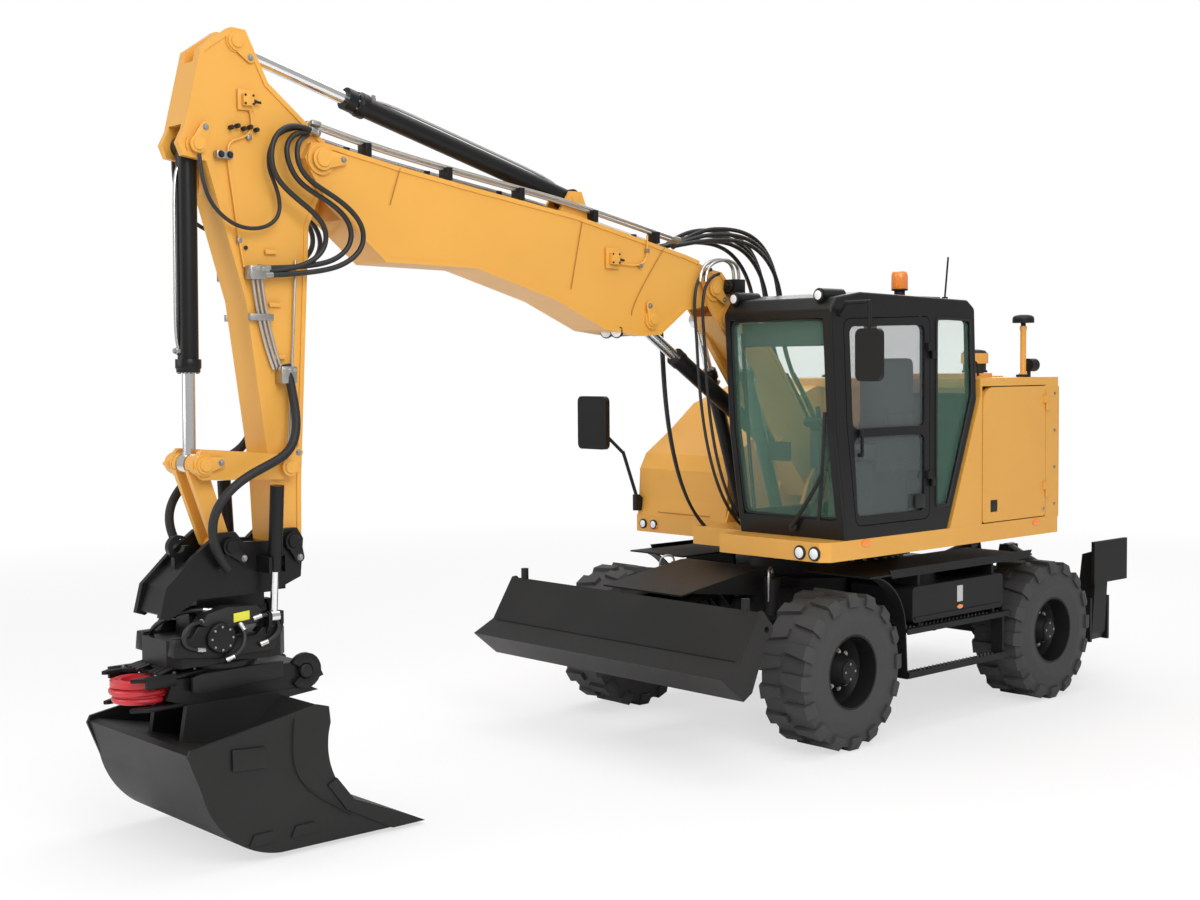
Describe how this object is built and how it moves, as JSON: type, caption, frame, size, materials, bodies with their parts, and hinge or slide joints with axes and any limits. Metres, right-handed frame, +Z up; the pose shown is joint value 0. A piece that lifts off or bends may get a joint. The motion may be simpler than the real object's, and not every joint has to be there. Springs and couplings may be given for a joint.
{
  "type": "wheeled excavator",
  "caption": "Wheeled excavator with dozer blade, outriggers, two-piece boom, arm, tiltrotator and grading bucket, with moving joints.",
  "frame": {"origin": "on the ground under the middle of the machine's overall length and width", "axes": "+X ahead towards the dozer blade and bucket, +Y to the driver's left, +Z up"},
  "size_m": [8.62, 3.3, 4.5831],
  "materials": {
    "yellow_paint": "gloss",
    "dark_paint": "satin",
    "wheel_paint": "satin",
    "tyre_rubber": "matte",
    "ram_paint": "satin",
    "rod_chrome": "polished",
    "tool_steel": "satin",
    "finger_paint": "gloss",
    "window_glass": "clear",
    "seat_cloth": "woven",
    "cab_plastic": "matte",
    "lamp_lens": "clear"
  },
  "bodies": {
    "chassis": {"chassis_frame": "dark_paint", "front_axle": "dark_paint", "rear_axle": "dark_paint", "steps": "dark_paint"},
    "knuckle_left": {"knuckle_left": "dark_paint"},
    "knuckle_right": {"knuckle_right": "dark_paint"},
    "track_rod": {"track_rod": "ram_paint"},
    "wheel_front_left": {"tyre_front_left": "tyre_rubber", "rim_front_left": "wheel_paint"},
    "wheel_front_right": {"tyre_front_right": "tyre_rubber", "rim_front_right": "wheel_paint"},
    "wheel_rear_left": {"tyre_rear_left": "tyre_rubber", "rim_rear_left": "wheel_paint"},
    "wheel_rear_right": {"tyre_rear_right": "tyre_rubber", "rim_rear_right": "wheel_paint"},
    "blade": {"blade": "dark_paint"},
    "blade_ram_barrels": {"blade_ram_barrels": "ram_paint"},
    "blade_ram_rods": {"blade_ram_rods": "rod_chrome"},
    "outrigger_left": {"outrigger_left": "dark_paint"},
    "outrigger_right": {"outrigger_right": "dark_paint"},
    "outrigger_barrel_left": {"outrigger_barrel_left": "ram_paint"},
    "outrigger_barrel_right": {"outrigger_barrel_right": "ram_paint"},
    "outrigger_rod_left": {"outrigger_rod_left": "rod_chrome"},
    "outrigger_rod_right": {"outrigger_rod_right": "rod_chrome"},
    "upper": {"upper_frame": "yellow_paint", "counterweight": "yellow_paint", "engine_block": "dark_paint", "body_panels": "yellow_paint", "cab_shell": "dark_paint", "cab_glass": "window_glass", "seat": "seat_cloth", "controls": "cab_plastic", "lamps": "lamp_lens", "outside_fittings": "dark_paint"},
    "cab_door": {"cab_door": "dark_paint", "door_glass": "window_glass"},
    "service_door": {"service_door": "yellow_paint"},
    "hood": {"hood": "yellow_paint"},
    "lower_boom": {"lower_boom": "yellow_paint"},
    "lift_barrels": {"lift_barrels": "ram_paint"},
    "lift_rods": {"lift_rods": "rod_chrome"},
    "upper_boom": {"upper_boom": "yellow_paint"},
    "adjust_barrel": {"adjust_barrel": "ram_paint"},
    "adjust_rod": {"adjust_rod": "rod_chrome"},
    "arm": {"arm": "yellow_paint"},
    "arm_ram_barrel": {"arm_ram_barrel": "ram_paint"},
    "arm_ram_rod": {"arm_ram_rod": "rod_chrome"},
    "rocker": {"rocker": "yellow_paint"},
    "link": {"link": "yellow_paint"},
    "bucket_ram_barrel": {"bucket_ram_barrel": "ram_paint"},
    "bucket_ram_rod": {"bucket_ram_rod": "rod_chrome"},
    "tool_carrier": {"tool_carrier": "tool_steel", "tilt_barrels": "ram_paint"},
    "tilt_body": {"tilt_body": "tool_steel"},
    "tilt_rod_left": {"tilt_rod_left": "rod_chrome"},
    "tilt_rod_right": {"tilt_rod_right": "rod_chrome"},
    "rotor": {"rotor": "tool_steel", "gripper_fingers": "finger_paint", "bucket": "tool_steel"}
  },
  "joints": [
    {"name": "steering_left", "type": "hinge", "parent": "chassis", "child": "knuckle_left", "pos_m": [-0.51, 0.76, 0.549], "axis": [0, 0, 1], "range_deg": [-30, 30]},
    {"name": "steering_right", "type": "hinge", "parent": "chassis", "child": "knuckle_right", "pos_m": [-0.51, -0.76, 0.549], "axis": [0, 0, 1], "range_deg": [-30.5, 30.5]},
    {"name": "track_rod_slide", "type": "slide", "parent": "chassis", "child": "track_rod", "axis": [0, 1, 0], "range_m": [-0.0893, 0.0893]},
    {"name": "wheel_front_left_spin", "type": "hinge", "parent": "knuckle_left", "child": "wheel_front_left", "pos_m": [-0.51, 1.05, 0.549], "axis": [0, 1, 0], "continuous": true},
    {"name": "wheel_front_right_spin", "type": "hinge", "parent": "knuckle_right", "child": "wheel_front_right", "pos_m": [-0.51, -1.05, 0.549], "axis": [0, 1, 0], "continuous": true},
    {"name": "wheel_rear_left_spin", "type": "hinge", "parent": "chassis", "child": "wheel_rear_left", "pos_m": [-3.01, 1.05, 0.549], "axis": [0, 1, 0], "continuous": true},
    {"name": "wheel_rear_right_spin", "type": "hinge", "parent": "chassis", "child": "wheel_rear_right", "pos_m": [-3.01, -1.05, 0.549], "axis": [0, 1, 0], "continuous": true},
    {"name": "blade_lift", "type": "hinge", "parent": "chassis", "child": "blade", "pos_m": [-0.21, 0, 0.5], "axis": [0, 1, 0], "range_deg": [0, 46]},
    {"name": "blade_ram_swing", "type": "hinge", "parent": "chassis", "child": "blade_ram_barrels", "pos_m": [-0.32, 0, 1.045], "axis": [0, -1, 0], "range_deg": [-29.46, 0.5]},
    {"name": "blade_ram_stroke", "type": "slide", "parent": "blade_ram_barrels", "child": "blade_ram_rods", "axis": [0.9864, 0, -0.1644], "range_m": [-0.002, 0.36033]},
    {"name": "outrigger_left_swing", "type": "hinge", "parent": "chassis", "child": "outrigger_left", "pos_m": [-3.98, 1, 0.4], "axis": [-1, 0, 0], "range_deg": [0, 115]},
    {"name": "outrigger_ram_left_swing", "type": "hinge", "parent": "chassis", "child": "outrigger_barrel_left", "pos_m": [-3.98, 0.2, 1.04], "axis": [-1, 0, 0], "range_deg": [-0.5, 7.72]},
    {"name": "outrigger_ram_left_stroke", "type": "slide", "parent": "outrigger_barrel_left", "child": "outrigger_rod_left", "axis": [0, 0.9054, -0.4246], "range_m": [-0.002, 0.50747]},
    {"name": "outrigger_right_swing", "type": "hinge", "parent": "chassis", "child": "outrigger_right", "pos_m": [-3.98, -1, 0.4], "axis": [1, 0, 0], "range_deg": [0, 115]},
    {"name": "outrigger_ram_right_swing", "type": "hinge", "parent": "chassis", "child": "outrigger_barrel_right", "pos_m": [-3.98, -0.2, 1.04], "axis": [1, 0, 0], "range_deg": [-0.5, 7.72]},
    {"name": "outrigger_ram_right_stroke", "type": "slide", "parent": "outrigger_barrel_right", "child": "outrigger_rod_right", "axis": [0, -0.9054, -0.4246], "range_m": [-0.002, 0.50747]},
    {"name": "slew", "type": "hinge", "parent": "chassis", "child": "upper", "pos_m": [-1.71, 0, 1.33], "axis": [0, 0, 1], "continuous": true},
    {"name": "cab_door_swing", "type": "hinge", "parent": "upper", "child": "cab_door", "pos_m": [-1.378, 1.272, 2.3], "axis": [0, 0, 1], "range_deg": [0, 110]},
    {"name": "service_door_swing", "type": "hinge", "parent": "upper", "child": "service_door", "pos_m": [-2.884, 1.258, 2], "axis": [0, 0, 1], "range_deg": [0, 110]},
    {"name": "hood_lift", "type": "hinge", "parent": "upper", "child": "hood", "pos_m": [-2.872, 0, 2.562], "axis": [0, -1, 0], "range_deg": [0, 55]},
    {"name": "lower_boom_lift", "type": "hinge", "parent": "upper", "child": "lower_boom", "pos_m": [-1.46, 0, 1.75], "axis": [0, -1, 0], "range_deg": [-30, 30]},
    {"name": "lift_ram_swing", "type": "hinge", "parent": "upper", "child": "lift_barrels", "pos_m": [-0.93, 0, 1.56], "axis": [0, -1, 0], "range_deg": [-30.57, 30.57]},
    {"name": "lift_ram_stroke", "type": "slide", "parent": "lift_barrels", "child": "lift_rods", "axis": [0.3143, 0, 0.9493], "range_m": [-0.2885, 0.2885]},
    {"name": "upper_boom_lift", "type": "hinge", "parent": "lower_boom", "child": "upper_boom", "pos_m": [-0.31, 0, 3.23], "axis": [0, -1, 0], "range_deg": [-35, 28]},
    {"name": "adjust_ram_swing", "type": "hinge", "parent": "lower_boom", "child": "adjust_barrel", "pos_m": [-1.07, 0, 2.06], "axis": [0, -1, 0], "range_deg": [-8.49, 6.89]},
    {"name": "adjust_ram_stroke", "type": "slide", "parent": "adjust_barrel", "child": "adjust_rod", "axis": [0.837, 0, 0.5472], "range_m": [-0.35823, 0.28699]},
    {"name": "arm_swing", "type": "hinge", "parent": "upper_boom", "child": "arm", "pos_m": [3.03, 0, 3.89], "axis": [0, 1, 0], "range_deg": [-62, 28]},
    {"name": "arm_ram_swing", "type": "hinge", "parent": "upper_boom", "child": "arm_ram_barrel", "pos_m": [0.99, 0, 3.8], "axis": [0, -1, 0], "range_deg": [-6, 12.68]},
    {"name": "arm_ram_stroke", "type": "slide", "parent": "arm_ram_barrel", "child": "arm_ram_rod", "axis": [0.9634, 0, 0.2682], "range_m": [-0.65869, 0.29857]},
    {"name": "tool_curl", "type": "hinge", "parent": "arm", "child": "tool_carrier", "pos_m": [3.27, 0, 1.68], "axis": [0, -1, 0], "range_deg": [-80, 45]},
    {"name": "rocker_swing", "type": "hinge", "parent": "arm", "child": "rocker", "pos_m": [3.29, 0, 2.11], "axis": [0, -1, 0], "range_deg": [-58.95, 33.38]},
    {"name": "link_swing", "type": "hinge", "parent": "rocker", "child": "link", "pos_m": [3.82, 0, 2.145], "axis": [0, -1, 0], "range_deg": [-27.25, 48.05]},
    {"name": "bucket_ram_swing", "type": "hinge", "parent": "arm", "child": "bucket_ram_barrel", "pos_m": [3.8, 0, 3.915], "axis": [0, -1, 0], "range_deg": [-3.42, 2.14]},
    {"name": "bucket_ram_stroke", "type": "slide", "parent": "bucket_ram_barrel", "child": "bucket_ram_rod", "axis": [0.0113, 0, -0.9999], "range_m": [-0.28621, 0.50726]},
    {"name": "tool_tilt", "type": "hinge", "parent": "tool_carrier", "child": "tilt_body", "pos_m": [3.59, 0, 1.29], "axis": [1, 0, 0], "range_deg": [-40, 40]},
    {"name": "tilt_ram_left_stroke", "type": "slide", "parent": "tool_carrier", "child": "tilt_rod_left", "axis": [0, -0.0863, -0.9963], "range_m": [-0.15763, 0.15763]},
    {"name": "tilt_ram_right_stroke", "type": "slide", "parent": "tool_carrier", "child": "tilt_rod_right", "axis": [0, 0.0863, -0.9963], "range_m": [-0.15763, 0.15763]},
    {"name": "tool_rotate", "type": "hinge", "parent": "tilt_body", "child": "rotor", "pos_m": [3.69, 0, 1], "axis": [0, 0, 1], "continuous": true}
  ],
  "couplings": [
    {"joint": "steering_right", "follows": "steering_left", "ratio": 1},
    {"joint": "track_rod_slide", "follows": "steering_left", "m_per_rad": -0.17},
    {"joint": "blade_ram_swing", "follows": "blade_lift", "ratio": -0.6295},
    {"joint": "blade_ram_stroke", "follows": "blade_lift", "m_per_rad": 0.44632},
    {"joint": "outrigger_ram_left_swing", "follows": "outrigger_left_swing", "ratio": 0.062763},
    {"joint": "outrigger_ram_left_stroke", "follows": "outrigger_left_swing", "m_per_rad": 0.25184},
    {"joint": "outrigger_ram_right_swing", "follows": "outrigger_right_swing", "ratio": 0.062763},
    {"joint": "outrigger_ram_right_stroke", "follows": "outrigger_right_swing", "m_per_rad": 0.25184},
    {"joint": "lift_ram_swing", "follows": "lower_boom_lift", "ratio": 1.0023},
    {"joint": "lift_ram_stroke", "follows": "lower_boom_lift", "m_per_rad": 0.54718},
    {"joint": "adjust_ram_swing", "follows": "upper_boom_lift", "ratio": 0.22833},
    {"joint": "adjust_ram_stroke", "follows": "upper_boom_lift", "m_per_rad": 0.58316},
    {"joint": "arm_ram_swing", "follows": "arm_swing", "ratio": -0.19652},
    {"joint": "arm_ram_stroke", "follows": "arm_swing", "m_per_rad": 0.60686},
    {"joint": "rocker_swing", "follows": "tool_curl", "ratio": 0.73064},
    {"joint": "link_swing", "follows": "tool_curl", "ratio": -0.59437},
    {"joint": "bucket_ram_swing", "follows": "tool_curl", "ratio": 0.036474},
    {"joint": "bucket_ram_stroke", "follows": "tool_curl", "m_per_rad": -0.36187},
    {"joint": "tilt_ram_left_stroke", "follows": "tool_tilt", "m_per_rad": -0.22293},
    {"joint": "tilt_ram_right_stroke", "follows": "tool_tilt", "m_per_rad": 0.22293}
  ]
}
